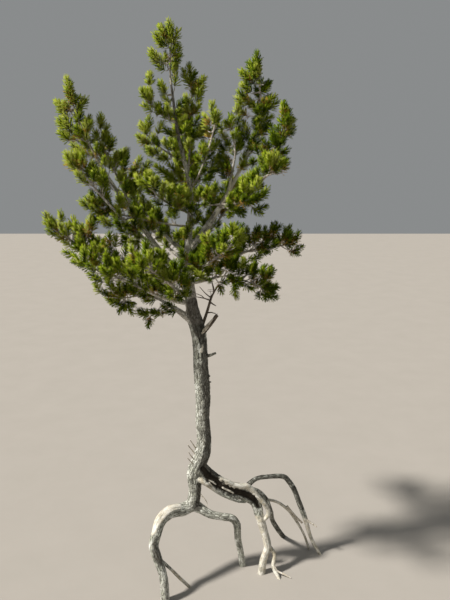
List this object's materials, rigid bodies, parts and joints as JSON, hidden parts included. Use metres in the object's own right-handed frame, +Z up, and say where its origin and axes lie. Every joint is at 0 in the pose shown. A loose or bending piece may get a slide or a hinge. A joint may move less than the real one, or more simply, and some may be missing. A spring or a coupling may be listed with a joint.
{
  "type": "wind-shaped pine tree on bared roots",
  "caption": "Wind-shaped pine with a leaning, twisting grey trunk raised on bared stilt roots, and a dense forked crown of needle tufts.",
  "frame": {"origin": "middle of the flat cut under the trunk's leg, where it meets the ground", "axes": "+Z up the tree, +X towards the side on which the other roots stand, +Y away from the side that the picture shows"},
  "size_m": [3.0056, 2.2347, 5.9667],
  "materials": {
    "bark": "rough, fissured pale grey bark, browner in its cracks",
    "root_bark": "rough, weathered grey bark and bleached wood",
    "bough_bark": "rough, scaly grey bark",
    "needles": "matte green needles on grey-brown twigs",
    "dead_wood": "bare, dry grey-brown wood"
  },
  "bodies": {
    "root": {"trunk": "bark", "root_middle_arm": "root_bark", "root_middle_leg": "root_bark", "root_right": "root_bark", "root_front_fork": "root_bark", "root_back": "root_bark", "root_far_right_arm": "root_bark", "root_far_right_leg": "root_bark", "root_thin": "root_bark", "root_left_fork": "root_bark", "bough_left_main": "bough_bark", "bough_left_second": "bough_bark", "bough_left_third": "bough_bark", "bough_left_shoulder": "bough_bark", "bough_left_out": "bough_bark", "bough_left_low": "bough_bark", "bough_left_bottom": "bough_bark", "bough_front": "bough_bark", "bough_front_right": "bough_bark", "bough_right_main": "bough_bark", "bough_right_inner": "bough_bark", "bough_far_right": "bough_bark", "bough_right_shoulder": "bough_bark", "bough_right_out": "bough_bark", "bough_right_low": "bough_bark", "bough_back_left": "bough_bark", "bough_back_right": "bough_bark", "bough_back_low": "bough_bark", "bough_dead": "dead_wood", "bough_stub": "dead_wood", "needles_top": "needles", "needles_top_left": "needles", "needles_high_center": "needles", "needles_high_right": "needles", "needles_high_left": "needles", "needles_high_back": "needles", "needles_left_top": "needles", "needles_left_second": "needles", "needles_left_third": "needles", "needles_left_shoulder": "needles", "needles_left_mid": "needles", "needles_left_out": "needles", "needles_left_low": "needles", "needles_left_bottom": "needles", "needles_front_high": "needles", "needles_front": "needles", "needles_front_right": "needles", "needles_right_top": "needles", "needles_right_inner": "needles", "needles_far_right": "needles", "needles_right_shoulder": "needles", "needles_right_mid": "needles", "needles_right_out": "needles", "needles_right_low": "needles", "needles_back_left": "needles", "needles_back_right": "needles", "needles_back_low": "needles", "needles_back_center": "needles", "twigs_dead": "dead_wood"}
  },
  "joints": []
}
